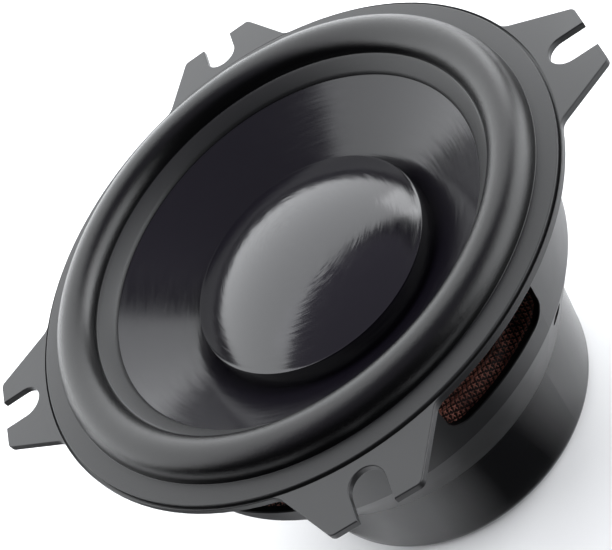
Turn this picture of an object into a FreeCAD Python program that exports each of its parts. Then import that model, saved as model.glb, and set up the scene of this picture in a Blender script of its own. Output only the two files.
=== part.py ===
"""Four-inch car loudspeaker: pressed basket with four slotted ears, one cone, motor and terminals.

Millimetres, +Z along the driver's axis towards the listener. The origin lies on that axis, in
the plane of the mounting face (the rear face of the flange). Every function returns one node:
one solid, or a group of identical separate solids.
"""
import FreeCAD, Part
import math
import os

Vector = FreeCAD.Vector
AXIS = Vector(0, 0, 1)
ORIGIN = Vector(0, 0, 0)

# ---- driving dimensions ----------------------------------------------------------------
SHEET = 1.3                     # thickness of the basket's steel
FLANGE_R = 50.95                # outer radius of the round flange
SPIGOT_R = 46.2                 # wall that drops through the panel cut-out
SPIGOT_DEPTH = 2.6
SPIGOT_WALL = 0.2               # the flange's bore is this much smaller than the spigot
FLANGE_LAP = 1.0                # the shell's front edge runs this far into the flange
LEDGE_Z = -20.3                 # spider landing, and the rear edge of the drum
DRUM_REAR_R = 42.45
LEDGE_IN_R = 38.9               # inner edge of the spider landing
BAND_REAR_R = 34.6              # rear end of the conical band
BAND_REAR_Z = -35.2
FLOOR_TOP_Z = -34.3
FLOOR_REAR_Z = -35.6
FLOOR_BORE_R = 19.0
DEPTH = 57.4                    # mounting face to the back of the magnet cover

EAR_AZIMUTHS = (45, 135, 225, 315)
EAR_TIP = 60.3                  # radial distance of an ear's straight tip
EAR_TIP_HALF = 7.6
EAR_BASE = 48.6
EAR_BASE_HALF = 14.0
EAR_CORNER_R = 1.2
EAR_FOOT_R = 3.0
SLOT_CENTRE = 55.8              # radial distance of the slot's round end
SLOT_HALF = 3.1
EDGE_ROUND = 0.2
DRUM_EDGE_ROUND = 0.5
BAND_EDGE_ROUND = 0.3
TOLERANCE = 0.05                # for picking edges by their position

WINDOW_AZIMUTHS = (45, 105, 165, 225, 285, 345)
WINDOW_TOP = -4.6
WINDOW_REAR = -15.4
WINDOW_HALF_WIDTH = 12.0
WINDOW_CORNER_R = 3.4
VENT_AZIMUTHS = (5.6, 95.6, 185.6, 275.6)
VENT_WIDTH = 3.2
VENT_HEIGHT = 3.4
VENT_Z = -22.65
VENT_CORNER_R = 1.1
VENT_INNER_X = 38.0             # where a vent's cutter starts, inside the wall

SEAT_R = 50.8                   # recess that holds the surround's outer flange
SEAT_Z = 0.7
SURROUND_R = 50.35
SURROUND_FACE_Z = 1.65          # flat front ring of the surround
ROLL_IN_R = 38.8
ROLL_OUT_R = 46.7
ROLL_HEIGHT = 3.9
ROLL_THICKNESS = 0.6
SURROUND_GLUE_R = 36.0          # inner edge of the surround, glued to the cone
GLUE_THICKNESS = 0.45
GLUE_LINE = 0.15                # adhesive between the surround's inner flange and the cone

CONE_RIM_R = 38.6
CONE_THICKNESS = 0.6
CONE_SLOPE = 0.7327             # rise of the cone's straight side per millimetre of radius
CONE_DROP = CONE_THICKNESS * math.hypot(1, CONE_SLOPE)
CAP_FOOT_R = 22.87
CAP_FOOT_Z = -10.59
CAP_RIM_R = 22.5
CAP_RIM_Z = -6.82
CAP_HEIGHT = 7.0
CAP_THICKNESS = 0.5

FORMER_IN_R = 16.0
FORMER_OUT_R = 16.2
FORMER_TOP_Z = -14.2
FORMER_REAR_Z = -45.6
COIL_OUT_R = 16.9
COIL_TOP_Z = -32.1
COIL_REAR_Z = -44.1
NECK_OUT_R = 16.8
NECK_REAR_Z = -17.4
ADHESIVE_WIDTH = 2.0
ADHESIVE_HOLLOW = (0.75, 0.95)  # middle of the adhesive's concave face, from the neck's corner

SPIDER_IN_R = 17.0
SPIDER_OUT_R = 40.95
SPIDER_THICKNESS = 0.4
SPIDER_WAVES = 5
SPIDER_WAVE_HEIGHT = 1.15
SPIDER_FLAT_IN = 18.4
SPIDER_FLAT_OUT = 38.4

PLATE_R = 32.0
PLATE_REAR_Z = -40.6
PLATE_BORE_R = 17.3
MAGNET_R = 30.0
MAGNET_BORE_R = 21.0
MAGNET_REAR_Z = -50.6
MAGNET_CHAMFER = 0.5
YOKE_R = 29.0
YOKE_REAR_Z = -56.4
YOKE_CHAMFER = 2.0
POLE_R = 15.3
POLE_TOP_Z = -35.0
POLE_STEP = 0.4                 # the pole is this much thinner behind its copper cap
POLE_STEP_LENGTH = 1.0
COPPER_R = 15.6
COPPER_REAR_Z = -42.5

COVER_FRONT_R = 34.1
COVER_FRONT_Z = -35.35
COVER_REAR_R = 30.85
COVER_WALL = 1.0
COVER_FIT = 0.15                # gap between the cover and the floor's raised middle
COVER_ROUND = 2.6
COVER_EDGE_ROUND = 0.3
COVER_RECESS_R = 22.0
COVER_RECESS_DEPTH = 0.4

RIVET_CIRCLE_R = 26.0
RIVET_AZIMUTHS = (0, 90, 180, 270)
RIVET_R = 1.5
RIVET_HEAD_R = 2.4
RIVET_HEAD = 0.9
RIVET_HEAD_ROUND = 0.54
RIVET_DEPTH = 3.0

TERMINAL_AZIMUTH = 165
TERMINAL_OFFSET = 6.0           # each tab's distance from the terminal block's middle
BLOCK_HALF_WIDTH = 10.5
BLOCK_FACE_X = 44.9
BLOCK_TOP_Z = -18.4
BLOCK_REAR_Z = -30.5
BLOCK_CORNER_R = 1.5
BLOCK_RIVET_Z = -25.45
BLOCK_RIVET_GRIP = 1.56         # inner head's face, behind the band's outer surface
BLOCK_RIVET_SINK = 0.7          # outer head, flush with the block's face
TAB_X = 44.1                    # middle of the tabs' thickness
TAB_TOP_Z = -16.4
TAB_TIP_Z = -40.5
POSITIVE_WIDTH = 4.8
NEGATIVE_WIDTH = 2.8
POSITIVE_THICKNESS = 0.8
NEGATIVE_THICKNESS = 0.5
TAB_BEVEL_SHARE = 0.22          # tip chamfer, as a share of the tab's width
TAB_HOLE_R = 0.6
TAB_HOLE_RISE = 4.0             # locking hole, from the tab's tip

LEAD_DIAMETER = 0.8
LEAD_GAP = 0.3
LEAD_BEND_SHARE = 0.45          # of the shorter side, used up by each bend
EYELET_X = 20.2
EYELET_R = 0.7
EYELET_HEAD_R = 1.2
EYELET_HEAD = 0.35
COLLAR_OUT_R = 16.45
COIL_LEAD_THICKNESS = 0.25
COIL_LEAD_BEND = 1.0            # bend of a coil lead, behind the cone's neck
FIT_GAP = 0.05

# ---- sizes that follow from the ones above -----------------------------------------------
DRUM_TAPER = (SPIGOT_R - DRUM_REAR_R) / (-SPIGOT_DEPTH - LEDGE_Z)
BAND_TAPER = (DRUM_REAR_R - BAND_REAR_R) / (LEDGE_Z - BAND_REAR_Z)
DRUM_SKIN = SHEET * math.hypot(1, DRUM_TAPER)       # wall thickness along the radius
BAND_SKIN = SHEET * math.hypot(1, BAND_TAPER)
FLOOR_PAD_R = COVER_FRONT_R - COVER_WALL - COVER_FIT    # raised middle that centres the cover
EYELET_CENTRE_R = math.hypot(EYELET_X, TERMINAL_OFFSET)


# ---- helpers ---------------------------------------------------------------------------
def segment(a, b):
    return Part.LineSegment(a, b).toShape()


def meridian(r, z):
    return Vector(r, 0, z)


def revolved(start, *steps):
    """Solid of revolution about Z. A step is a point (r, z), or a pair (middle, end) for an arc."""
    edges = []
    here = meridian(*start)
    for step in steps + (start,):
        if isinstance(step[0], tuple):
            middle, end = meridian(*step[0]), meridian(*step[1])
            edges.append(Part.Arc(here, middle, end).toShape())
        else:
            end = meridian(*step)
            edges.append(segment(here, end))
        here = end
    return Part.Face(Part.Wire(edges)).revolve(ORIGIN, AXIS, 360)


def rounded_polygon(corners, radii):
    """Closed planar wire through the corners, each rounded by its own radius (0 keeps it sharp)."""
    arcs = []
    count = len(corners)
    for i, corner in enumerate(corners):
        to_last = (corners[i - 1] - corner).normalize()
        to_next = (corners[(i + 1) % count] - corner).normalize()
        radius = radii[i]
        if radius == 0:
            arcs.append((corner, None, corner))
            continue
        half = to_last.getAngle(to_next) / 2
        reach = radius / math.tan(half)
        towards = (to_last + to_next).normalize()
        centre = corner + towards * (radius / math.sin(half))
        arcs.append((corner + to_last * reach, centre - towards * radius, corner + to_next * reach))
    edges = []
    for i, (first, middle, last) in enumerate(arcs):
        if middle is not None:
            edges.append(Part.Arc(first, middle, last).toShape())
        following = arcs[(i + 1) % count][0]
        if (following - last).Length > 1e-6:
            edges.append(segment(last, following))
    return Part.Wire(edges)


def turned(shape, azimuth):
    copy = shape.copy()
    copy.rotate(ORIGIN, AXIS, azimuth)
    return copy


def around(shape, azimuths):
    """Copies of one shape, made on the +X side, at each azimuth."""
    return [turned(shape, azimuth) for azimuth in azimuths]


def box(x0, x1, y0, y1, z0, z1):
    return Part.makeBox(x1 - x0, y1 - y0, z1 - z0, Vector(x0, y0, z0))


def disc(radius, z0, z1, x=0.0, y=0.0):
    return Part.makeCylinder(radius, z1 - z0, Vector(x, y, z0))


def drum_r(z):
    """Outer radius of the drum's taper."""
    return DRUM_REAR_R + DRUM_TAPER * (z - LEDGE_Z)


def band_r(z):
    """Outer radius of the conical band behind the drum."""
    return BAND_REAR_R + BAND_TAPER * (z - BAND_REAR_Z)


def cone_z(r):
    """Height of the cone's front surface."""
    return CAP_FOOT_Z + CONE_SLOPE * (r - CAP_FOOT_R)


def with_ring_round(shape, radius, z, edge_radius):
    """The shape with the round edge of this radius at this height softened."""
    ring = []
    for edge in shape.Edges:
        limits = edge.BoundBox
        level = limits.ZLength < TOLERANCE and abs(limits.ZMin - z) < TOLERANCE
        if level and abs(limits.XMax - radius) < TOLERANCE:
            ring.append(edge)
    return shape.makeFillet(edge_radius, ring)


# ---- basket ----------------------------------------------------------------------------
def ear_plate():
    """One ear on the +X side with its open slot, flat from the mounting face to the front."""
    corners = [
        Vector(EAR_BASE, -EAR_BASE_HALF, 0),
        Vector(EAR_TIP, -EAR_TIP_HALF, 0),
        Vector(EAR_TIP, EAR_TIP_HALF, 0),
        Vector(EAR_BASE, EAR_BASE_HALF, 0),
    ]
    outline = rounded_polygon(corners, [0, EAR_CORNER_R, EAR_CORNER_R, 0])
    plate = Part.Face(outline).extrude(AXIS * SHEET)
    slot = box(SLOT_CENTRE, EAR_TIP + 1, -SLOT_HALF, SLOT_HALF, -1, SHEET + 1)
    return plate.cut(slot).cut(disc(SLOT_HALF, -1, SHEET + 1, x=SLOT_CENTRE))


def flange_plate():
    """Flat flange ring and ears, with rounded feet and softened edges."""
    plate = disc(FLANGE_R, 0, SHEET).multiFuse(around(ear_plate(), EAR_AZIMUTHS)).removeSplitter()
    feet = []
    for edge in plate.Edges:
        ends = [vertex.Point for vertex in edge.Vertexes]
        upright = len(ends) == 2 and abs(ends[0].z - ends[1].z) > SHEET / 2
        radius = math.hypot(ends[0].x, ends[0].y)
        if upright and abs(radius - FLANGE_R) < TOLERANCE:
            feet.append(edge)
    plate = plate.makeFillet(EAR_FOOT_R, feet)
    rims = [edge for edge in plate.Edges if edge.BoundBox.ZLength < 1e-6]
    return plate.makeFillet(EDGE_ROUND, rims)


def basket_shell():
    """Drum, spider ledge, conical band and floor, without the flange's outer part."""
    ledge_rear_z = BAND_REAR_Z + (LEDGE_IN_R + BAND_SKIN - BAND_REAR_R) / BAND_TAPER
    shell = revolved(
        (SPIGOT_R + FLANGE_LAP, 0.0),
        (SPIGOT_R + FLANGE_LAP, SHEET),
        (SPIGOT_R - SPIGOT_WALL, SHEET),
        (SPIGOT_R - DRUM_SKIN, -SPIGOT_DEPTH),
        (DRUM_REAR_R - DRUM_SKIN, LEDGE_Z),
        (LEDGE_IN_R, LEDGE_Z),
        (LEDGE_IN_R, ledge_rear_z),
        (band_r(FLOOR_TOP_Z) - BAND_SKIN, FLOOR_TOP_Z),
        (FLOOR_BORE_R, FLOOR_TOP_Z),
        (FLOOR_BORE_R, FLOOR_REAR_Z),
        (FLOOR_PAD_R, FLOOR_REAR_Z),
        (FLOOR_PAD_R, BAND_REAR_Z),
        (BAND_REAR_R, BAND_REAR_Z),
        (DRUM_REAR_R, LEDGE_Z),
        (SPIGOT_R, -SPIGOT_DEPTH),
        (SPIGOT_R, 0.0),
    )
    shell = with_ring_round(shell, DRUM_REAR_R, LEDGE_Z, DRUM_EDGE_ROUND)
    return with_ring_round(shell, BAND_REAR_R, BAND_REAR_Z, BAND_EDGE_ROUND)


def window_cutter():
    corners = [
        Vector(SPIDER_FLAT_OUT, -WINDOW_HALF_WIDTH, WINDOW_REAR),
        Vector(SPIDER_FLAT_OUT, WINDOW_HALF_WIDTH, WINDOW_REAR),
        Vector(SPIDER_FLAT_OUT, WINDOW_HALF_WIDTH, WINDOW_TOP),
        Vector(SPIDER_FLAT_OUT, -WINDOW_HALF_WIDTH, WINDOW_TOP),
    ]
    outline = rounded_polygon(corners, [WINDOW_CORNER_R] * 4)
    return Part.Face(outline).extrude(Vector(SPIGOT_R - SPIDER_FLAT_OUT + 2, 0, 0))


def vent_cutter():
    half = VENT_WIDTH / 2
    slot = box(VENT_INNER_X, FLANGE_R, -half, half, VENT_Z - VENT_HEIGHT / 2, VENT_Z + VENT_HEIGHT / 2)
    along = [edge for edge in slot.Edges if edge.BoundBox.XLength > 1]
    return slot.makeFillet(VENT_CORNER_R, along)


def rivet_hole():
    return disc(RIVET_R + FIT_GAP, FLOOR_REAR_Z - RIVET_DEPTH, FLOOR_TOP_Z + 1, x=RIVET_CIRCLE_R)


def basket():
    opening = disc(SPIGOT_R - SPIGOT_WALL, -1, SHEET + 1)
    flange = flange_plate().cut(opening)
    seat = disc(SEAT_R, SEAT_Z, SHEET + 1)
    body = flange.fuse(basket_shell()).cut(seat).removeSplitter()
    cutters = around(window_cutter(), WINDOW_AZIMUTHS)
    cutters += around(vent_cutter(), VENT_AZIMUTHS)
    cutters += around(rivet_hole(), RIVET_AZIMUTHS)
    cutters.append(turned(block_rivet(), TERMINAL_AZIMUTH))
    return body.cut(cutters)


# ---- moving assembly -------------------------------------------------------------------
def cone():
    """Straight-sided cone with a short neck that slips over the former."""
    neck_in_r = FORMER_OUT_R
    body = revolved(
        (CONE_RIM_R, cone_z(CONE_RIM_R)),
        (neck_in_r, cone_z(neck_in_r)),
        (neck_in_r, NECK_REAR_Z),
        (NECK_OUT_R, NECK_REAR_Z),
        (NECK_OUT_R, cone_z(NECK_OUT_R) - CONE_DROP),
        (CONE_RIM_R, cone_z(CONE_RIM_R) - CONE_DROP),
    )
    return body.cut([turned(eyelet_hole(side), TERMINAL_AZIMUTH) for side in (-1, 1)])


def eyelet_hole(side):
    return disc(EYELET_R + FIT_GAP, NECK_REAR_Z, CAP_FOOT_Z, x=EYELET_X, y=side * TERMINAL_OFFSET)


def dust_cap():
    """Convex dome with a short skirt that stands on the cone."""
    sphere_r = (CAP_RIM_R ** 2 + CAP_HEIGHT ** 2) / (2 * CAP_HEIGHT)
    centre_z = CAP_RIM_Z + CAP_HEIGHT - sphere_r
    inner_sphere_r = sphere_r - CAP_THICKNESS
    inner_rim_r = CAP_RIM_R - CAP_THICKNESS
    inner_foot_r = CAP_FOOT_R - CAP_THICKNESS
    half_r = CAP_RIM_R / 2

    def dome(sphere, r):
        return (r, centre_z + math.sqrt(sphere ** 2 - r ** 2))

    return revolved(
        dome(sphere_r, 0.0),
        (dome(sphere_r, half_r), dome(sphere_r, CAP_RIM_R)),
        (CAP_FOOT_R, CAP_FOOT_Z),
        (inner_foot_r, cone_z(inner_foot_r)),
        dome(inner_sphere_r, inner_rim_r),
        (dome(inner_sphere_r, half_r), dome(inner_sphere_r, 0.0)),
    )


def coil_former():
    """Thin tube that joins the cone to the coil."""
    return revolved(
        (FORMER_IN_R, FORMER_TOP_Z),
        (FORMER_OUT_R, FORMER_TOP_Z),
        (FORMER_OUT_R, FORMER_REAR_Z),
        (FORMER_IN_R, FORMER_REAR_Z),
    )


def voice_coil():
    """Two layers of wire on the former, as one ring."""
    return revolved(
        (FORMER_OUT_R, COIL_TOP_Z),
        (COIL_OUT_R, COIL_TOP_Z),
        (COIL_OUT_R, COIL_REAR_Z),
        (FORMER_OUT_R, COIL_REAR_Z),
    )


def coil_collar():
    """Paper collar that stiffens the former between the coil and the cone's neck."""
    return revolved(
        (FORMER_OUT_R, NECK_REAR_Z),
        (COLLAR_OUT_R, NECK_REAR_Z),
        (COLLAR_OUT_R, COIL_TOP_Z),
        (FORMER_OUT_R, COIL_TOP_Z),
    )


def neck_adhesive():
    """Fillet of adhesive in the corner between the former and the cone's front."""
    corner_z = cone_z(FORMER_OUT_R)
    foot_r = FORMER_OUT_R + ADHESIVE_WIDTH
    hollow_r, hollow_z = ADHESIVE_HOLLOW
    return revolved(
        (FORMER_OUT_R, corner_z),
        (foot_r, cone_z(foot_r)),
        ((FORMER_OUT_R + hollow_r, corner_z + hollow_z), (FORMER_OUT_R, FORMER_TOP_Z)),
    )


def coil_lead(side):
    """Flat lead from the coil up the former and out along the cone's underside to its eyelet."""
    azimuth = math.degrees(math.atan2(side * TERMINAL_OFFSET, EYELET_X))
    wall = COIL_LEAD_THICKNESS
    bend_z = NECK_REAR_Z - COIL_LEAD_BEND
    end_r = EYELET_CENTRE_R - EYELET_HEAD_R
    end_z = eyelet_rear_z() - EYELET_HEAD / 2
    outline = [
        Vector(COLLAR_OUT_R, -wall, COIL_TOP_Z),
        Vector(COLLAR_OUT_R + wall, -wall, COIL_TOP_Z),
        Vector(COLLAR_OUT_R + wall, -wall, bend_z),
        Vector(end_r, -wall, end_z - wall),
        Vector(end_r, -wall, end_z),
        Vector(COLLAR_OUT_R, -wall, bend_z + wall),
        Vector(COLLAR_OUT_R, -wall, COIL_TOP_Z),
    ]
    strip = Part.Face(Part.makePolygon(outline)).extrude(Vector(0, 2 * wall, 0))
    return turned(strip, azimuth)


def coil_leads():
    return Part.makeCompound([turned(coil_lead(side), TERMINAL_AZIMUTH) for side in (-1, 1)])


def eyelet_rear_z():
    """Front of the eyelet's rear head, where it meets the cone's underside."""
    return cone_z(EYELET_CENTRE_R - EYELET_HEAD_R) - CONE_DROP


def eyelet(side):
    """Brass eyelet riveted through the cone."""
    y = side * TERMINAL_OFFSET
    front_z = cone_z(EYELET_CENTRE_R + EYELET_HEAD_R)
    rear_z = eyelet_rear_z()
    shank = disc(EYELET_R, rear_z - EYELET_HEAD, front_z + EYELET_HEAD, x=EYELET_X, y=y)
    front = disc(EYELET_HEAD_R, front_z, front_z + EYELET_HEAD, x=EYELET_X, y=y)
    rear = disc(EYELET_HEAD_R, rear_z - EYELET_HEAD, rear_z, x=EYELET_X, y=y)
    return shank.multiFuse([front, rear]).removeSplitter()


def lead_eyelets():
    return Part.makeCompound([turned(eyelet(side), TERMINAL_AZIMUTH) for side in (-1, 1)])


# ---- suspension ------------------------------------------------------------------------
def surround():
    """Rubber half-roll with a flat outer flange in the basket's seat and an inner glue flange."""
    roll_mid = (ROLL_IN_R + ROLL_OUT_R) / 2
    roll_top = SURROUND_FACE_Z + ROLL_HEIGHT
    wall = ROLL_THICKNESS
    glue_z = cone_z(SURROUND_GLUE_R) + GLUE_LINE
    rim_z = cone_z(ROLL_IN_R) + GLUE_LINE
    return revolved(
        (SURROUND_R, SEAT_Z),
        (SURROUND_R, SURROUND_FACE_Z - EDGE_ROUND),
        (SURROUND_R - EDGE_ROUND, SURROUND_FACE_Z),
        (ROLL_OUT_R, SURROUND_FACE_Z),
        ((roll_mid, roll_top), (ROLL_IN_R, SURROUND_FACE_Z)),
        (SURROUND_GLUE_R, glue_z + GLUE_THICKNESS),
        (SURROUND_GLUE_R, glue_z),
        (ROLL_IN_R + wall, rim_z + wall * CONE_SLOPE),
        ((roll_mid, roll_top - wall), (ROLL_OUT_R - wall, SURROUND_FACE_Z - wall)),
        (ROLL_OUT_R - wall, SEAT_Z),
    )


def spider():
    """Corrugated cloth disc from the former to the basket's ledge."""
    top = []
    span = (SPIDER_FLAT_OUT - SPIDER_FLAT_IN) / (2 * SPIDER_WAVES)
    middle_z = LEDGE_Z + SPIDER_THICKNESS
    swing = SPIDER_WAVE_HEIGHT / 2
    top.append((SPIDER_FLAT_IN, middle_z))
    for k in range(2 * SPIDER_WAVES):
        start = SPIDER_FLAT_IN + k * span
        crest = middle_z + (swing if k % 2 == 0 else -swing)
        top.append(((start + span / 2, crest), (start + span, middle_z)))
    rear = [(SPIDER_OUT_R, middle_z), (SPIDER_OUT_R, LEDGE_Z), (SPIDER_FLAT_OUT, LEDGE_Z)]
    for k in reversed(range(2 * SPIDER_WAVES)):
        start = SPIDER_FLAT_IN + k * span
        crest = LEDGE_Z + (swing if k % 2 == 0 else -swing)
        rear.append(((start + span / 2, crest), (start, LEDGE_Z)))
    rear.append((SPIDER_IN_R, LEDGE_Z))
    return revolved((SPIDER_IN_R, middle_z), *top, *rear)


# ---- motor -----------------------------------------------------------------------------
def top_plate():
    plate = revolved(
        (PLATE_BORE_R, FLOOR_REAR_Z),
        (PLATE_R, FLOOR_REAR_Z),
        (PLATE_R, PLATE_REAR_Z),
        (PLATE_BORE_R, PLATE_REAR_Z),
    )
    return plate.cut(around(rivet_hole(), RIVET_AZIMUTHS))


def magnet_ring():
    return revolved(
        (MAGNET_BORE_R, PLATE_REAR_Z),
        (MAGNET_R - MAGNET_CHAMFER, PLATE_REAR_Z),
        (MAGNET_R, PLATE_REAR_Z - MAGNET_CHAMFER),
        (MAGNET_R, MAGNET_REAR_Z + MAGNET_CHAMFER),
        (MAGNET_R - MAGNET_CHAMFER, MAGNET_REAR_Z),
        (MAGNET_BORE_R, MAGNET_REAR_Z),
    )


def yoke():
    """Back plate and pole forged in one piece."""
    return revolved(
        (0.0, POLE_TOP_Z),
        (POLE_R, POLE_TOP_Z),
        (POLE_R, COPPER_REAR_Z),
        (POLE_R - POLE_STEP, COPPER_REAR_Z - POLE_STEP_LENGTH),
        (POLE_R - POLE_STEP, MAGNET_REAR_Z),
        (YOKE_R, MAGNET_REAR_Z),
        (YOKE_R, YOKE_REAR_Z + YOKE_CHAMFER),
        (YOKE_R - YOKE_CHAMFER, YOKE_REAR_Z),
        (0.0, YOKE_REAR_Z),
    )


def copper_cap():
    """Thin copper cap pressed over the pole to steady the coil's inductance."""
    wall = COPPER_R - POLE_R
    return revolved(
        (0.0, POLE_TOP_Z + wall),
        (COPPER_R, POLE_TOP_Z + wall),
        (COPPER_R, COPPER_REAR_Z),
        (POLE_R, COPPER_REAR_Z),
        (POLE_R, POLE_TOP_Z),
        (0.0, POLE_TOP_Z),
    )


def plate_rivets():
    shank = disc(RIVET_R, FLOOR_REAR_Z - RIVET_DEPTH, FLOOR_TOP_Z, x=RIVET_CIRCLE_R)
    head = disc(RIVET_HEAD_R, FLOOR_TOP_Z, FLOOR_TOP_Z + RIVET_HEAD, x=RIVET_CIRCLE_R)
    rim = [edge for edge in head.Edges if edge.BoundBox.ZMin > FLOOR_TOP_Z + RIVET_HEAD / 2]
    rivet = shank.fuse(head.makeFillet(RIVET_HEAD_ROUND, rim)).removeSplitter()
    return Part.makeCompound(around(rivet, RIVET_AZIMUTHS))


def magnet_cover():
    """Tapered can over the motor, with a rounded rear edge and a shallow round recess."""
    rear_z = -DEPTH
    taper = (COVER_FRONT_R - COVER_REAR_R) / (COVER_FRONT_Z - rear_z)
    round_z = rear_z + COVER_ROUND
    round_r = COVER_REAR_R + taper * COVER_ROUND
    flat_r = round_r - COVER_ROUND
    knee = COVER_ROUND * math.sqrt(0.5)
    inner = COVER_ROUND - COVER_WALL
    inner_knee = inner * math.sqrt(0.5)
    recess_z = rear_z + COVER_RECESS_DEPTH
    inside_z = rear_z + COVER_WALL
    cover = revolved(
        (COVER_FRONT_R, COVER_FRONT_Z),
        (round_r, round_z),
        ((flat_r + knee, round_z - knee), (flat_r, rear_z)),
        (COVER_RECESS_R, rear_z),
        (COVER_RECESS_R - COVER_RECESS_DEPTH, recess_z),
        (0.0, recess_z),
        (0.0, inside_z),
        (flat_r, inside_z),
        ((flat_r + inner_knee, round_z - inner_knee), (flat_r + inner, round_z)),
        (COVER_FRONT_R - COVER_WALL, COVER_FRONT_Z),
    )
    return with_ring_round(cover, COVER_FRONT_R, COVER_FRONT_Z, COVER_EDGE_ROUND)


# ---- terminals -------------------------------------------------------------------------
def block_rivet():
    """Rivet along +X that clamps the terminal block to the conical band."""
    inner_x = band_r(BLOCK_RIVET_Z) - BLOCK_RIVET_GRIP

    def along(radius, x0, x1):
        return Part.makeCylinder(radius, x1 - x0, Vector(x0, 0, BLOCK_RIVET_Z), Vector(1, 0, 0))

    shank = along(RIVET_R, inner_x, BLOCK_FACE_X)
    inner_head = along(RIVET_HEAD_R, inner_x - RIVET_HEAD, inner_x)
    outer_head = along(RIVET_HEAD_R, BLOCK_FACE_X - BLOCK_RIVET_SINK, BLOCK_FACE_X)
    return shank.multiFuse([inner_head, outer_head]).removeSplitter()


def terminal_rivet():
    return turned(block_rivet(), TERMINAL_AZIMUTH)


def tab(side, width, thickness):
    """Flat push-on tab with a chamfered tip and a locking hole near it."""
    y = side * TERMINAL_OFFSET
    half = width / 2
    bevel = width * TAB_BEVEL_SHARE
    x = TAB_X - thickness / 2
    outline = [
        Vector(x, y - half, TAB_TOP_Z),
        Vector(x, y + half, TAB_TOP_Z),
        Vector(x, y + half, TAB_TIP_Z + bevel),
        Vector(x, y + half - bevel, TAB_TIP_Z),
        Vector(x, y - half + bevel, TAB_TIP_Z),
        Vector(x, y - half, TAB_TIP_Z + bevel),
        Vector(x, y - half, TAB_TOP_Z),
    ]
    plate = Part.Face(Part.makePolygon(outline)).extrude(Vector(thickness, 0, 0))
    start = Vector(x - thickness / 2, y, TAB_TIP_Z + TAB_HOLE_RISE)
    hole = Part.makeCylinder(TAB_HOLE_R, 2 * thickness, start, Vector(1, 0, 0))
    return plate.cut(hole)


def terminal_positive():
    return turned(tab(1, POSITIVE_WIDTH, POSITIVE_THICKNESS), TERMINAL_AZIMUTH)


def terminal_negative():
    return turned(tab(-1, NEGATIVE_WIDTH, NEGATIVE_THICKNESS), TERMINAL_AZIMUTH)


def terminal_block():
    """Moulded block that fits the conical band and carries both tabs."""
    corners = [
        Vector(BAND_REAR_R, -BLOCK_HALF_WIDTH, BLOCK_REAR_Z),
        Vector(BLOCK_FACE_X, -BLOCK_HALF_WIDTH, BLOCK_REAR_Z),
        Vector(BLOCK_FACE_X, BLOCK_HALF_WIDTH, BLOCK_REAR_Z),
        Vector(BAND_REAR_R, BLOCK_HALF_WIDTH, BLOCK_REAR_Z),
    ]
    outline = rounded_polygon(corners, [0, BLOCK_CORNER_R, BLOCK_CORNER_R, 0])
    block = Part.Face(outline).extrude(AXIS * (BLOCK_TOP_Z - BLOCK_REAR_Z))
    inside = revolved(
        (0.0, 0.0),
        (drum_r(0.0), 0.0),
        (DRUM_REAR_R, LEDGE_Z),
        (BAND_REAR_R, BAND_REAR_Z),
        (0.0, BAND_REAR_Z),
    )
    block = block.cut(inside)
    sockets = [
        tab(1, POSITIVE_WIDTH, POSITIVE_THICKNESS),
        tab(-1, NEGATIVE_WIDTH, NEGATIVE_THICKNESS),
        block_rivet(),
    ]
    return turned(block.cut(sockets), TERMINAL_AZIMUTH)


def lead_route():
    """Corner points (x, z) of a flexible lead, from the tab's top to the eyelet's rear head."""
    return [
        (TAB_X, TAB_TOP_Z),
        (TAB_X, -10.9),
        (38.0, -9.0),
        (33.0, -14.2),
        (26.6, -17.5),
        (22.9, -18.0),
        (20.7, -16.4),
        (EYELET_X, eyelet_rear_z() - EYELET_HEAD - LEAD_GAP),
    ]


def tinsel_lead(side):
    """Round braided lead along straight runs joined by tangent arcs."""
    y = side * TERMINAL_OFFSET
    points = [Vector(x, y, z) for x, z in lead_route()]
    edges = []
    here = points[0]
    for before, corner, after in zip(points, points[1:], points[2:]):
        back = (before - corner).normalize()
        ahead = (after - corner).normalize()
        half = back.getAngle(ahead) / 2
        shorter = min((before - corner).Length, (after - corner).Length)
        radius = LEAD_BEND_SHARE * shorter * math.tan(half)
        reach = radius / math.tan(half)
        inward = (back + ahead).normalize()
        centre = corner + inward * (radius / math.sin(half))
        edges.append(segment(here, corner + back * reach))
        middle = centre - inward * radius
        here = corner + ahead * reach
        edges.append(Part.Arc(corner + back * reach, middle, here).toShape())
    edges.append(segment(here, points[-1]))
    path = Part.Wire(edges)
    start = edges[0].tangentAt(edges[0].FirstParameter)
    section = Part.Wire(Part.makeCircle(LEAD_DIAMETER / 2, points[0], start))
    return turned(path.makePipeShell([section], True, False), TERMINAL_AZIMUTH)


def tinsel_lead_positive():
    return tinsel_lead(1)


def tinsel_lead_negative():
    return tinsel_lead(-1)


NODES = (
    basket,
    surround,
    cone,
    dust_cap,
    coil_former,
    voice_coil,
    coil_collar,
    coil_leads,
    neck_adhesive,
    lead_eyelets,
    spider,
    tinsel_lead_positive,
    tinsel_lead_negative,
    top_plate,
    magnet_ring,
    yoke,
    copper_cap,
    plate_rivets,
    magnet_cover,
    terminal_block,
    terminal_rivet,
    terminal_positive,
    terminal_negative,
)


def main():
    os.makedirs("parts", exist_ok=True)
    for make in NODES:
        shape = make()
        print(make.__name__, "solids:", len(shape.Solids), "valid:", shape.isValid())
        shape.exportStep(f"parts/{make.__name__}.step")


main()
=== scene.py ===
import math

import bpy
import numpy as np
from mathutils import Matrix, Vector


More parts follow.
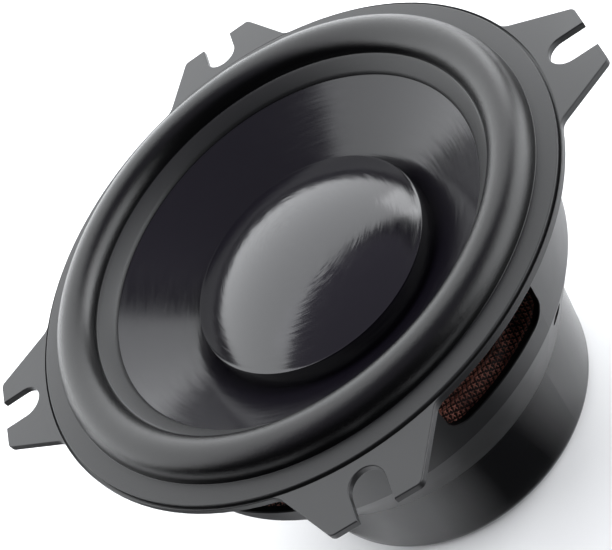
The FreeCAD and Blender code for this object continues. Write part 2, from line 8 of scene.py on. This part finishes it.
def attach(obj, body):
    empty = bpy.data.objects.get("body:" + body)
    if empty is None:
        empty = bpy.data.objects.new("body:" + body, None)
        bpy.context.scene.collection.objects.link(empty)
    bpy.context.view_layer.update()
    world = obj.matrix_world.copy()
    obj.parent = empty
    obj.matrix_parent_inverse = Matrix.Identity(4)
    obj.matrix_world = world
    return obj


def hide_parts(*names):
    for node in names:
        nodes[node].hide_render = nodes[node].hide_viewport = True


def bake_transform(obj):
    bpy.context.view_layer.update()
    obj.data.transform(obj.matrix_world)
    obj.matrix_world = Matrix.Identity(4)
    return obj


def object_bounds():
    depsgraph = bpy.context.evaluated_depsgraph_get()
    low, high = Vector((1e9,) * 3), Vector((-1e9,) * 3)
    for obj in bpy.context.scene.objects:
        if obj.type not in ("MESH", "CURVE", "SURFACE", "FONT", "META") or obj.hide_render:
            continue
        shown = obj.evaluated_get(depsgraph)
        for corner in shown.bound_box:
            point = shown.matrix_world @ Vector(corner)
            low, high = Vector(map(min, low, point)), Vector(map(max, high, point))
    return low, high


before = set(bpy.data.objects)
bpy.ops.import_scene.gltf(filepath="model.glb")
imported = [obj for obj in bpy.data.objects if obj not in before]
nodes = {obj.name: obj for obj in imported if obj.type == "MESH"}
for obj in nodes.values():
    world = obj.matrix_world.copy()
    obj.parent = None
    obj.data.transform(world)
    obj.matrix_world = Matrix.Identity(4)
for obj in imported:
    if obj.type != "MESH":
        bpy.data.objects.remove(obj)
cad_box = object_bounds()

# Lengths are in millimetres until a mesh is made, angles in degrees.
# +Z is the driver's axis, towards the listener; z = 0 is the mounting face.
MM = 0.001
SEGMENTS = 288                  # facets round the axis

# ---- camera and stage --------------------------------------------------------------------
CAMERA_TARGET = (3.06, -3.71, -5.11)
CAMERA_DISTANCE = 245.77
CAMERA_AZIMUTH = -28.04
CAMERA_ELEVATION = 41.05
CAMERA_ROLL = -44.12
CAMERA_LENS = 85.4
FLOOR_HALF = 4000.0
PANEL_DISTANCE = 1.2            # metres
LIGHT_TINT = (0.97, 0.99, 1.01)
DIM_TINT = (0.98, 0.93, 1.15)
CARD_RADII = (32.0, 230.0)      # dark card on the floor, seen only in reflections: painted shade
CARD_SPAN = (-156.0, 14.0)
CARD_LIFT = 0.2                 # above the floor
# Painted shade zones of the card, seen only in reflections: middle, darkest within, clear beyond
# (degrees), cover where darkest
CARD_ZONES = ((-25.0, 10.0, 37.0, 0.98), (-120.0, 14.0, 36.0, 0.85))

# ---- suspension --------------------------------------------------------------------------
FLANGE_FACE = 1.65              # flat front ring of the surround
FLANGE_REAR = 0.7
FLANGE_R = 50.35
FLANGE_EDGE = 0.25              # round along the flange's outer edge
ROLL_FOOT = 46.8                # the flat ring starts here
ROLL_MIDDLE = 42.75
ROLL_R = 3.95
ROLL_SINK = 0.05                # the roll's centre is this far behind the flange's face
ROLL_WALL = 0.6
ROLL_FILLET = 0.14              # concave fillet at the outer foot of the roll
ROLL_STEPS = 28
INNER_FOOT = ((0.12, 0.1), (0.5, -0.25))    # steps inwards from the roll, up from the flange's face
FOOT_MARGIN = 0.1               # the glued flange's own finish starts this far inside the roll
GLUE_R = 36.0                   # inner edge of the surround, on the cone
GLUE_LINE = 0.15                # adhesive between the surround and the cone
GLUE_WALL = 0.45
GLUE_BEVEL = (0.45, 0.33)       # bevel along the surround's inner edge
GLUE_LIP = 0.12                 # upright edge left below the bevel
CONE_SLOPE = 0.7327
CAP_FOOT = (22.87, -10.59)
DRUM_TAPER = 0.212              # growth of the drum's radius per millimetre of height
DRUM_INSIDE = 46.5              # just inside the drum's outer wall, carried up its slope to z = 0
SHADE_BLEND = 0.1                # width over which the outer coat meets the painted shade inside
LEDGE_Z = -20.3                 # landing that the spider is glued to
SPIDER_IN = 17.0
SPIDER_OUT = 40.95
SPIDER_WAVES = (18.4, 38.4, 5, 0.575)   # inner radius, outer radius, count, half height
SPIDER_FLATS = (17.7, 39.8)     # a radius on each flat rim
SPIDER_GLUED = 0.5              # the cloth's inner rim, fixed to the former
SPIDER_Z = -20.1                # middle of the cloth
SHEET_HALF = 0.05               # half the thickness of the resin film
SHEET_MARGIN = 0.1
WEAVE_MARGINS = (0.1, 0.15)     # threads stop this far from the inner and the outer edge
WEAVE_PITCH = 0.62
THREAD_WIDTH = 0.28
THREAD_DEPTH = 0.20
THREAD_RISE = 0.14

# ---- centre cap --------------------------------------------------------------------------
CAP_RIM = (22.5, -6.82)
CAP_HEIGHT = 7.0
CAP_WALL = 0.5
CAP_EDGE = 0.22                 # small round along the cap's rim
CAP_BEND = (0.62, 0.045)        # first point of that round: share of its width, drop
CAP_SKIRT_OUT = 0.02            # the skirt's top stands this far outside the rim
CAP_SKIRT_BEND = (0.015, 0.1)   # second point of that round, from the skirt's top

# ---- leads -------------------------------------------------------------------------------
TERMINAL_AZIMUTH = 165
TERMINAL_OFFSET = 6.0
LEAD_ROUTE = (
    (44.1, -16.4),
    (44.1, -10.9),
    (38.0, -9.0),
    (33.0, -14.2),
    (26.6, -17.5),
    (22.9, -18.0),
    (20.7, -16.4),
    (20.2, -14.3),
)
LEAD_BEND_STEPS = 16
LEAD_POINTS = 260
LEAD_MOVES = (22.0, 42.0)       # radii handed on to stretch_between_bodies
STRAND_COUNT = 5
STRAND_R = 0.15
STRAND_ORBIT = 0.24
STRAND_TURNS = 16


# ---- mesh helpers ------------------------------------------------------------------------
def new_mesh(name, vertices, faces, materials, smooth_angle=35.0):
    """Mesh object from millimetre vertices, softly shaded below smooth_angle."""
    mesh = bpy.data.meshes.new(name)
    mesh.from_pydata((np.asarray(vertices, float) * MM).tolist(), [], faces)
    mesh.update()
    for material in materials:
        mesh.materials.append(material)
    mesh.shade_smooth()
    mesh.set_sharp_from_angle(angle=math.radians(smooth_angle))
    piece = bpy.data.objects.new(name, mesh)
    bpy.context.scene.collection.objects.link(piece)
    return piece


def revolved(name, profile, materials, segments=SEGMENTS, smooth_angle=35.0):
    """Closed (r, z) profile turned about Z. A point on the axis becomes one vertex."""
    angles = 2 * math.pi * np.arange(segments) / segments
    vertices = []
    rings = []
    for r, z in profile:
        if r == 0:
            rings.append([len(vertices)] * segments)
            vertices.append((0.0, 0.0, z))
        else:
            rings.append(list(range(len(vertices), len(vertices) + segments)))
            vertices.extend((r * math.cos(a), r * math.sin(a), z) for a in angles)
    faces = []
    for inner, outer in zip(rings, rings[1:] + rings[:1]):
        for i in range(segments):
            j = (i + 1) % segments
            corners = [inner[i], inner[j], outer[j], outer[i]]
            corners = [v for k, v in enumerate(corners) if v != corners[k - 1]]
            if len(corners) > 2:
                faces.append(corners)
    return new_mesh(name, vertices, faces, materials, smooth_angle)


def arc(centre, radius, first, last, steps):
    """Points of an arc in the (r, z) plane, at angles from +r towards +z."""
    angles = [math.radians(first + (last - first) * i / steps) for i in range(steps + 1)]
    return [(centre[0] + radius * math.cos(a), centre[1] + radius * math.sin(a)) for a in angles]


def tube(points, sides, half_width, half_depth, up):
    """Vertices and faces of a closed tube along the points; up sets the half_depth direction."""
    points = np.asarray(points, float)
    along = np.gradient(points, axis=0)
    along /= np.linalg.norm(along, axis=1, keepdims=True)
    across = np.cross(along, up)
    across /= np.linalg.norm(across, axis=1, keepdims=True)
    normal = np.cross(across, along)
    angles = 2 * math.pi * (np.arange(sides) + 0.5) / sides
    rings = (
        points[:, None]
        + across[:, None] * (half_width * np.cos(angles))[None, :, None]
        + normal[:, None] * (half_depth * np.sin(angles))[None, :, None]
    )
    faces = [tuple(range(sides))]
    for i in range(len(points) - 1):
        for j in range(sides):
            k = (j + 1) % sides
            faces.append((i * sides + j, (i + 1) * sides + j, (i + 1) * sides + k, i * sides + k))
    faces.append(tuple(reversed(range((len(points) - 1) * sides, len(points) * sides))))
    return rings.reshape(-1, 3), faces


def joined(parts):
    """One vertex list and one face list from several."""
    vertices = []
    faces = []
    start = 0
    for part_vertices, part_faces in parts:
        vertices.append(part_vertices)
        faces += [tuple(v + start for v in face) for face in part_faces]
        start += len(part_vertices)
    return np.concatenate(vertices), faces


def turned(points, azimuth):
    a = math.radians(azimuth)
    turn = np.array([[math.cos(a), -math.sin(a), 0], [math.sin(a), math.cos(a), 0], [0, 0, 1]])
    return np.asarray(points, float) @ turn.T


def stretch_between_bodies(piece, inner_r, outer_r):
    """Bakes the piece's placement into its mesh. inner_r and outer_r are not used."""
    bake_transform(piece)


def cone_z(r):
    """Height of the cone's front surface."""
    return CAP_FOOT[1] + CONE_SLOPE * (r - CAP_FOOT[0])


# ---- material helpers --------------------------------------------------------------------
class Shade:
    """A Principled material with short names for the nodes that vary it."""

    def __init__(self, name, colour, roughness, metallic=0.0, ior=1.42):
        self.material = bpy.data.materials.new(name)
        self.material.use_nodes = True
        self.tree = self.material.node_tree
        self.shader = self.tree.nodes["Principled BSDF"]
        self.colour = colour
        self.set("Base Color", (*colour, 1))
        self.set("Roughness", roughness)
        self.set("Metallic", metallic)
        self.set("IOR", ior)

    def set(self, socket, value):
        self.shader.inputs[socket].default_value = value

    def drive(self, socket, output):
        self.tree.links.new(output, self.shader.inputs[socket])

    def node(self, kind, inputs=(), **settings):
        node = self.tree.nodes.new(kind)
        for key, value in settings.items():
            setattr(node, key, value)
        for key, value in dict(inputs).items():
            if isinstance(value, bpy.types.NodeSocket):
                self.tree.links.new(value, node.inputs[key])
            else:
                node.inputs[key].default_value = value
        return node

    def place(self):
        return self.node("ShaderNodeTexCoord").outputs["Object"]

    def maths(self, operation, a, b=0.0):
        return self.node("ShaderNodeMath", {0: a, 1: b}, operation=operation).outputs[0]

    def vectors(self, operation, a, b=(0, 0, 0)):
        return self.node("ShaderNodeVectorMath", {0: a, 1: b}, operation=operation).outputs[0]

    def scaled(self, vector, factor):
        inputs = {0: vector, "Scale": factor}
        return self.node("ShaderNodeVectorMath", inputs, operation="SCALE").outputs[0]

    def noise(self, vector, scale, detail=2.0, roughness=0.5):
        inputs = {"Vector": vector, "Scale": scale, "Detail": detail, "Roughness": roughness}
        return self.node("ShaderNodeTexNoise", inputs).outputs["Fac"]

    def ranged(self, value, low, high, first=0.0, last=1.0):
        inputs = {"Value": value, "From Min": first, "From Max": last, "To Min": low, "To Max": high}
        return self.node("ShaderNodeMapRange", inputs).outputs["Result"]

    def mixed(self, factor, first, second):
        ramp = self.node("ShaderNodeMix", data_type="RGBA")
        self.tree.links.new(factor, ramp.inputs["Factor"])
        ramp.inputs["A"].default_value = (*first, 1)
        ramp.inputs["B"].default_value = (*second, 1)
        return ramp.outputs["Result"]

    def radial(self):
        """(unit vector away from the axis, distance from the axis in millimetres)."""
        flat = self.vectors("MULTIPLY", self.place(), (1, 1, 0))
        length = self.node("ShaderNodeVectorMath", {0: flat}, operation="LENGTH").outputs["Value"]
        return self.vectors("NORMALIZE", flat), self.maths("MULTIPLY", length, 1 / MM)

    def rings(self, pitch, arc_share):
        """Noise drawn out round the axis: lines pitch millimetres apart."""
        outward, distance = self.radial()
        depth = self.maths("DIVIDE", distance, pitch)
        spread = self.scaled(outward, arc_share)
        lift = self.node("ShaderNodeCombineXYZ", {"Z": depth}).outputs[0]
        return self.noise(self.vectors("ADD", spread, lift), 1.0, detail=3.0, roughness=0.6)

    def bump(self, height, distance, strength=1.0):
        inputs = {"Height": height, "Distance": distance * MM, "Strength": strength}
        self.drive("Normal", self.node("ShaderNodeBump", inputs).outputs["Normal"])

    def tilt_by_rings(self, amount, pitch, arc_share):
        """Leans the surface towards or away from the axis, ring by ring, as a spun surface does."""
        outward, _ = self.radial()
        lean = self.ranged(self.rings(pitch, arc_share), -amount, amount, 0.2, 0.8)
        push = self.scaled(outward, lean)
        normal = self.node("ShaderNodeNewGeometry").outputs["Normal"]
        self.drive("Normal", self.vectors("NORMALIZE", self.vectors("ADD", normal, push)))


# ---- materials ---------------------------------------------------------------------------
def satin_paint(name, colour, roughness, grain=0.004, ior=1.42):
    """Shade of a thin satin coat over steel: fine orange peel and slightly uneven gloss."""
    shade = Shade(name, colour, roughness, ior=ior)
    cloud = shade.noise(shade.place(), 120.0, detail=3.0)
    shade.drive("Roughness", shade.ranged(cloud, roughness - 0.04, roughness + 0.05))
    peel = shade.noise(shade.place(), 2600.0, detail=2.0)
    shade.bump(peel, grain)
    return shade


def painted_inner_shade(shade):
    """Painted shade inside the drum: its inner wall and the spider's landing are painted near black and
    reflect less than the outside.
    """
    _, distance = shade.radial()
    place = shade.node("ShaderNodeSeparateXYZ", {0: shade.place()})
    height = shade.maths("MULTIPLY", place.outputs["Z"], 1 / MM)
    cone_r = shade.maths("SUBTRACT", distance, shade.maths("MULTIPLY", height, DRUM_TAPER))
    within = shade.ranged(cone_r, 1.0, 0.0, DRUM_INSIDE - SHADE_BLEND, DRUM_INSIDE)
    above = shade.ranged(height, 0.0, 1.0, LEDGE_Z - SHADE_BLEND, LEDGE_Z - SHADE_BLEND / 2)
    inside = shade.maths("MULTIPLY", within, above)
    # painted shade: less gloss and a near-black colour inside the drum
    shade.drive("Specular IOR Level", shade.ranged(inside, 0.5, 0.06))
    shade.drive("Base Color", shade.mixed(inside, shade.colour, (0.001, 0.001, 0.001)))


def basket_paint():
    shade = satin_paint("basket_paint_look", (0.008, 0.008, 0.0086), 0.36)
    # paints shade into the inside of the drum
    painted_inner_shade(shade)
    return shade.material


def roll_rubber():
    shade = Shade("roll_rubber", (0.002, 0.002, 0.0022), 0.24, ior=1.39)
    grain = shade.noise(shade.place(), 3400.0, detail=3.0, roughness=0.7)
    cloud = shade.noise(shade.place(), 160.0, detail=3.0)
    shade.drive("Roughness", shade.ranged(cloud, 0.17, 0.24))
    shade.bump(grain, 0.05)
    return shade.material


def ring_rubber():
    shade = Shade("ring_rubber", (0.012, 0.012, 0.0125), 0.42, ior=1.36)
    grain = shade.noise(shade.place(), 3000.0, detail=3.0, roughness=0.7)
    shade.drive("Roughness", shade.ranged(grain, 0.37, 0.47))
    shade.bump(grain, 0.02)
    return shade.material


def glue_flange():
    shade = Shade("glue_flange", (0.009, 0.009, 0.0095), 0.45)
    grain = shade.noise(shade.place(), 3000.0, detail=3.0, roughness=0.7)
    shade.drive("Roughness", shade.ranged(grain, 0.40, 0.52))
    shade.bump(grain, 0.01)
    return shade.material


def spun_black(name, colour, roughness, lean, ior):
    """Glossy black skin with very fine lines turned round the axis."""
    shade = Shade(name, colour, roughness, ior=ior)
    shade.drive("Roughness", shade.ranged(shade.rings(0.5, 6.0), roughness - 0.05, roughness + 0.07))
    shade.tilt_by_rings(lean, 0.14, 4.0)
    return shade.material


def thread_cloth():
    shade = Shade("spider_thread", (0.16, 0.045, 0.034), 0.72)
    fibre = shade.noise(shade.place(), 5200.0, detail=3.0)
    cloud = shade.noise(shade.place(), 260.0, detail=2.0)
    tone = shade.maths("MULTIPLY", fibre, cloud)
    tone = shade.ranged(tone, 0, 1, 0.1, 0.42)
    shade.drive("Base Color", shade.mixed(tone, (0.06, 0.014, 0.011), (0.72, 0.28, 0.21)))
    shade.bump(fibre, 0.03)
    return shade.material


def cloth_resin():
    shade = Shade("spider_resin", (0.03, 0.007, 0.006), 0.55)
    spots = shade.noise(shade.place(), 1500.0, detail=2.0)
    shade.drive("Base Color", shade.mixed(spots, (0.004, 0.001, 0.001), (0.016, 0.004, 0.003)))
    shade.bump(spots, 0.03)
    return shade.material


def worn_metal(name, colour, roughness, metallic=1.0):
    shade = Shade(name, colour, roughness, metallic)
    cloud = shade.noise(shade.place(), 420.0, detail=4.0)
    shade.drive("Roughness", shade.ranged(cloud, roughness - 0.08, roughness + 0.12))
    shade.bump(shade.noise(shade.place(), 2600.0), 0.012)
    return shade.material


def moulded_plastic(name, colour, roughness):
    shade = Shade(name, colour, roughness)
    grain = shade.noise(shade.place(), 2200.0, detail=2.0)
    shade.drive("Roughness", shade.ranged(grain, roughness - 0.06, roughness + 0.08))
    shade.bump(grain, 0.01)
    return shade.material


def dark_card():
    """Black in each of the card's zones, fading to clear beside it: painted shade seen only in
    reflections.
    """
    shade = Shade("dark_card", (0.002, 0.002, 0.002), 1.0)
    place = shade.node("ShaderNodeSeparateXYZ", {0: shade.place()})
    azimuth = shade.maths("ARCTAN2", place.outputs["Y"], place.outputs["X"])
    cover = 0.0
    for middle, core, edge, darkest in CARD_ZONES:
        away = shade.maths("ABSOLUTE", shade.maths("SUBTRACT", azimuth, math.radians(middle)))
        zone = shade.ranged(away, darkest, 0.0, math.radians(core), math.radians(edge))
        cover = shade.maths("MAXIMUM", zone, cover)
    shade.drive("Alpha", cover)
    return shade.material


def stage_paper():
    return Shade("stage_paper", (0.9, 0.9, 0.9), 0.7).material


def make_materials():
    return {
        "basket": basket_paint(),
        "cover": satin_paint("cover_paint_look", (0.002, 0.002, 0.0025), 0.22, 0.001, 1.5).material,
        "rubber": roll_rubber(),
        "ring": ring_rubber(),
        "glue": glue_flange(),
        "cone": spun_black("cone_skin_look", (0.003, 0.0024, 0.0045), 0.20, 0.08, 1.42),
        "cap": spun_black("cap_skin_look", (0.003, 0.0024, 0.0045), 0.15, 0.075, 1.56),
        "thread": thread_cloth(),
        "resin": cloth_resin(),
        "tinned": worn_metal("tinned_metal", (0.25, 0.24, 0.215), 0.36),
        "steel": worn_metal("bright_steel", (0.20, 0.20, 0.21), 0.38),
        "copper": worn_metal("copper_metal", (0.40, 0.17, 0.09), 0.34),
        "braid": worn_metal("lead_wire", (0.36, 0.22, 0.15), 0.38),
        "ferrite": moulded_plastic("ferrite_grey", (0.045, 0.046, 0.050), 0.62),
        "paper": moulded_plastic("collar_paper_look", (0.20, 0.15, 0.10), 0.8),
        "film": moulded_plastic("former_film_look", (0.30, 0.17, 0.06), 0.4),
        "glue_bead": moulded_plastic("glue_bead", (0.03, 0.03, 0.03), 0.25),
        "block": moulded_plastic("block_plastic_look", (0.02, 0.02, 0.021), 0.5),
    }


LOOKS = {
    "basket": "basket",
    "magnet_cover": "cover",
    "cone": "cone",
    "coil_former": "film",
    "voice_coil": "copper",
    "coil_collar": "paper",
    "coil_leads": "copper",
    "neck_adhesive": "glue_bead",
    "lead_eyelets": "tinned",
    "top_plate": "steel",
    "magnet_ring": "ferrite",
    "yoke": "steel",
    "copper_cap": "copper",
    "plate_rivets": "steel",
    "terminal_block": "block",
    "terminal_rivet": "steel",
    "terminal_positive": "tinned",
    "terminal_negative": "tinned",
}


def dress_nodes(look):
    for name, key in LOOKS.items():
        for slot in nodes[name].material_slots:
            slot.material = look[key]


# ---- pieces ------------------------------------------------------------------------------
def roll_outline():
    """Fillet at the roll's outer foot, then the roll's skin from the flange to the cone."""
    middle_z = FLANGE_FACE - ROLL_SINK
    fillet_z = FLANGE_FACE + ROLL_FILLET
    high = fillet_z - middle_z
    reach = math.sqrt((ROLL_R + ROLL_FILLET) ** 2 - high ** 2)
    lean = math.degrees(math.atan2(high, reach))
    outer_foot = arc((ROLL_MIDDLE + reach, fillet_z), ROLL_FILLET, 270, 180 + lean, 6)
    crown = arc((ROLL_MIDDLE, middle_z), ROLL_R, lean, 180 - lean, ROLL_STEPS)
    return outer_foot + crown[1:]


def build_surround(look):
    glue_z = cone_z(GLUE_R) + GLUE_LINE
    roll_in_r = ROLL_MIDDLE - ROLL_R
    bevel_r, bevel_z = GLUE_BEVEL
    edge_middle = (FLANGE_R - FLANGE_EDGE, FLANGE_FACE - FLANGE_EDGE)
    profile = (
        [(FLANGE_R, FLANGE_REAR)]
        + arc(edge_middle, FLANGE_EDGE, 0, 90, 5)
        + roll_outline()
        + [(roll_in_r - inwards, FLANGE_FACE + up) for inwards, up in INNER_FOOT]
        + [(GLUE_R + bevel_r, glue_z + GLUE_WALL + bevel_z), (GLUE_R, glue_z + GLUE_LIP), (GLUE_R, glue_z)]
        + arc((ROLL_MIDDLE, FLANGE_FACE - ROLL_SINK), ROLL_R - ROLL_WALL, 180, 0, ROLL_STEPS)
        + [(ROLL_MIDDLE + ROLL_R - ROLL_WALL, FLANGE_REAR)]
    )
    piece = revolved("surround_roll", profile, [look["rubber"], look["glue"], look["ring"]])
    for polygon in piece.data.polygons:
        radius = math.hypot(polygon.center.x, polygon.center.y) / MM
        if radius < roll_in_r - FOOT_MARGIN:
            polygon.material_index = 1
        elif radius > ROLL_FOOT:
            polygon.material_index = 2
    stretch_between_bodies(piece, roll_in_r, ROLL_MIDDLE + ROLL_R)
    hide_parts("surround")


def build_cap(look):
    rim_r, rim_z = CAP_RIM
    sphere = (rim_r ** 2 + CAP_HEIGHT ** 2) / (2 * CAP_HEIGHT)
    centre_z = rim_z + CAP_HEIGHT - sphere
    reach = math.degrees(math.asin(rim_r / sphere))
    edge = CAP_EDGE / sphere
    start = 90 - reach + math.degrees(edge)
    outer = arc((0, centre_z), sphere, 90, start, 48)
    inner_reach = math.degrees(math.asin((rim_r - CAP_WALL) / (sphere - CAP_WALL)))
    inner = arc((0, centre_z), sphere - CAP_WALL, 90 - inner_reach, 90, 24)
    outer[0] = (0, outer[0][1])
    inner[-1] = (0, inner[-1][1])
    corner = outer[-1]
    foot_r, foot_z = CAP_FOOT
    skirt_top = (rim_r + CAP_SKIRT_OUT, rim_z - CAP_EDGE)
    share, drop = CAP_BEND
    inwards, up = CAP_SKIRT_BEND
    bend = [
        (corner[0] + (skirt_top[0] - corner[0]) * share, corner[1] - drop),
        (skirt_top[0] - inwards, skirt_top[1] + up),
    ]
    profile = outer + bend + [skirt_top, (foot_r, foot_z), (foot_r - CAP_WALL, foot_z)] + inner
    piece = revolved("cap_dome", profile, [look["cap"]], smooth_angle=50)
    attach(piece, "cone_assembly")
    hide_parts("dust_cap")


def spider_z(r):
    """Middle height of the corrugated cloth."""
    first, last, count, swing = SPIDER_WAVES
    phase = np.clip((np.asarray(r, float) - first) / (last - first), 0, 1)
    return SPIDER_Z + swing * np.sin(2 * math.pi * count * phase)


def build_spider(look):
    first, last, _, _ = SPIDER_WAVES
    inner_flat, outer_flat = SPIDER_FLATS
    rims = ([SPIDER_IN, inner_flat], [outer_flat, SPIDER_OUT - SHEET_MARGIN])
    radii = np.concatenate([rims[0], np.linspace(first, last, 81), rims[1]])
    top = [(r, float(spider_z(r)) + SHEET_HALF) for r in radii]
    rear = [(r, z - 2 * SHEET_HALF) for r, z in reversed(top)]
    sheet = revolved("spider_sheet", top + rear, [look["resin"]], segments=144)
    stretch_between_bodies(sheet, SPIDER_IN + SPIDER_GLUED, last)
    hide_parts("spider")
    for name, quarter in (("spider_warp", 0), ("spider_weft", 90)):
        threads = new_mesh(name, *weave(quarter), [look["thread"]], smooth_angle=180)
        stretch_between_bodies(threads, SPIDER_IN + SPIDER_GLUED, last)


def weave(quarter):
    """Parallel threads of one direction, over and under the other direction's threads."""
    parts = []
    inner_margin, outer_margin = WEAVE_MARGINS
    count = int(SPIDER_OUT / WEAVE_PITCH)
    step = WEAVE_PITCH / 2
    sign = 1 if quarter == 0 else -1
    for lane in range(-count, count + 1):
        y = (lane + 0.5) * WEAVE_PITCH
        x = np.arange(-int(SPIDER_OUT / step), int(SPIDER_OUT / step) + 1) * step
        r = np.hypot(x, y)
        for side in (x < 0, x >= 0):
            keep = side & (r > SPIDER_IN + inner_margin) & (r < SPIDER_OUT - outer_margin)
            if keep.sum() < 3:
                continue
            over = np.cos(math.pi * (x[keep] / WEAVE_PITCH - 0.5 + lane)) * THREAD_RISE * sign
            line = np.stack([x[keep], np.full(keep.sum(), y), spider_z(r[keep]) + over], axis=1)
            parts.append(tube(line, 4, THREAD_WIDTH / 2, THREAD_DEPTH / 2, (0, 0, 1)))
    vertices, faces = joined(parts)
    return turned(vertices, quarter), faces


def smooth_route(corners, steps):
    """Curve that touches the corner polygon at its ends and at the middle of each inner side."""
    corners = np.asarray(corners, float)
    middles = (corners[1:-2] + corners[2:-1]) / 2
    starts = np.concatenate([corners[:1], middles])
    ends = np.concatenate([middles, corners[-1:]])
    t = np.linspace(0, 1, steps, endpoint=False)[:, None]
    runs = []
    for start, bend, end in zip(starts, corners[1:-1], ends):
        runs.append((1 - t) ** 2 * start + 2 * t * (1 - t) * bend + t ** 2 * end)
    return np.concatenate(runs + [corners[-1:]])


def build_lead(name, node, side, look):
    corners = [(x, side * TERMINAL_OFFSET, z) for x, z in LEAD_ROUTE]
    centre = smooth_route(corners, LEAD_BEND_STEPS)
    length = np.concatenate([[0], np.cumsum(np.linalg.norm(np.diff(centre, axis=0), axis=1))])
    even = np.linspace(0, length[-1], LEAD_POINTS)
    centre = np.stack([np.interp(even, length, centre[:, k]) for k in range(3)], axis=1)
    along = np.gradient(centre, axis=0)
    along /= np.linalg.norm(along, axis=1, keepdims=True)
    sideways = np.array([0.0, 1.0, 0.0])
    upward = np.cross(along, sideways)
    parts = []
    for strand in range(STRAND_COUNT):
        angle = 2 * math.pi * (strand / STRAND_COUNT + STRAND_TURNS * even / even[-1])[:, None]
        line = centre + STRAND_ORBIT * (np.cos(angle) * upward + np.sin(angle) * sideways)
        parts.append(tube(line, 6, STRAND_R, STRAND_R, (0, 1, 0)))
    vertices, faces = joined(parts)
    piece = new_mesh(name, turned(vertices, TERMINAL_AZIMUTH), faces, [look["braid"]], smooth_angle=180)
    stretch_between_bodies(piece, *LEAD_MOVES)
    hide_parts(node)


# ---- stage, camera, lights ---------------------------------------------------------------
def build_stage():
    low_z = cad_box[0][2] / MM
    signs = ((-1, -1), (1, -1), (1, 1), (-1, 1))
    corners = [(FLOOR_HALF * x, FLOOR_HALF * y, low_z) for x, y in signs]
    floor = new_mesh("floor", corners, [(0, 1, 2, 3)], [stage_paper()])
    # painted shade: a dark card that only reflections see, darkening the floor they show
    card = sector("dark_card", CARD_SPAN, CARD_RADII, low_z + CARD_LIFT, dark_card())
    card.visible_camera = False
    card.visible_diffuse = False
    card.visible_shadow = False


def sector(name, azimuths, radii, z, material):
    """Flat ring sector about the axis."""
    steps = 24
    inner, outer = radii
    vertices = []
    for i in range(steps + 1):
        a = math.radians(azimuths[0] + (azimuths[1] - azimuths[0]) * i / steps)
        vertices.append((inner * math.cos(a), inner * math.sin(a), z))
        vertices.append((outer * math.cos(a), outer * math.sin(a), z))
    faces = [(2 * i, 2 * i + 1, 2 * i + 3, 2 * i + 2) for i in range(steps)]
    return new_mesh(name, vertices, faces, [material])


def direction(azimuth, elevation):
    azimuth, elevation = math.radians(azimuth), math.radians(elevation)
    flat = math.cos(elevation)
    return Vector((math.cos(azimuth) * flat, math.sin(azimuth) * flat, math.sin(elevation)))


def facing(place, target, roll):
    """Matrix at place whose -Z looks at target."""
    look = (target - place).to_track_quat("-Z", "Y").to_matrix().to_4x4()
    return Matrix.Translation(place) @ look @ Matrix.Rotation(math.radians(roll), 4, "Z")


def build_camera():
    data = bpy.data.cameras.new("camera")
    data.lens = CAMERA_LENS
    camera = bpy.data.objects.new("camera", data)
    bpy.context.scene.collection.objects.link(camera)
    target = Vector(CAMERA_TARGET) * MM
    place = target + direction(CAMERA_AZIMUTH, CAMERA_ELEVATION) * CAMERA_DISTANCE * MM
    camera.matrix_world = facing(place, target, CAMERA_ROLL)
    bpy.context.scene.camera = camera


def panel(name, place, radiance, edges, roll=0.0, distance=PANEL_DISTANCE, tint=LIGHT_TINT):
    """Soft box facing the part. Its edges are shares of its distance, seen from the part."""
    left, right, low, high = edges
    data = bpy.data.lights.new(name, "AREA")
    data.shape = "RECTANGLE"
    data.color = tint
    data.size = (left + right) * distance
    data.size_y = (low + high) * distance
    data.energy = radiance * data.size * data.size_y * math.pi
    lamp = bpy.data.objects.new(name, data)
    bpy.context.scene.collection.objects.link(lamp)
    middle = Matrix.Translation(Vector((left - right, high - low, 0)) * distance / 2)
    lamp.matrix_world = facing(direction(*place) * distance, Vector((0, 0, 0)), roll) @ middle
    lamp.visible_camera = False
    return lamp


def build_lights():
    world = bpy.data.worlds.new("studio")
    bpy.context.scene.world = world
    world.use_nodes = True
    backdrop = world.node_tree.nodes["Background"]
    backdrop.inputs["Color"].default_value = (0.96, 0.98, 1.0, 1)
    backdrop.inputs["Strength"].default_value = 0.02
    # Each panel: place (azimuth, elevation), radiance, edges (left, right, low, high)
    panel("key_panel", (160, 35), 3.5, (1.95, 1.6, 0.82, 0.86), roll=7)
    panel("side_panel", (40, 10), 5.0, (0.9, 0.62, 0.3, 0.64))
    panel("top_panel", (330, 80), 0.36, (0.9, 0.9, 0.45, 0.5), tint=DIM_TINT)
    panel("edge_panel", (72, 15), 1.5, (0.25, 0.3, 0.3, 0.46))
    panel("glint_panel", (82, 21), 2.6, (0.19, 0.19, 0.19, 0.19), distance=0.095)
    fill = panel("floor_fill", (330, 85), 0.5, (0.8, 0.8, 0.8, 0.8))
    fill.visible_glossy = False
    bpy.context.scene.view_settings.view_transform = "Standard"


def main():
    look = make_materials()
    dress_nodes(look)
    build_surround(look)
    build_cap(look)
    build_spider(look)
    build_lead("lead_strands_positive", "tinsel_lead_positive", 1, look)
    build_lead("lead_strands_negative", "tinsel_lead_negative", -1, look)
    build_stage()
    build_camera()
    build_lights()


main()
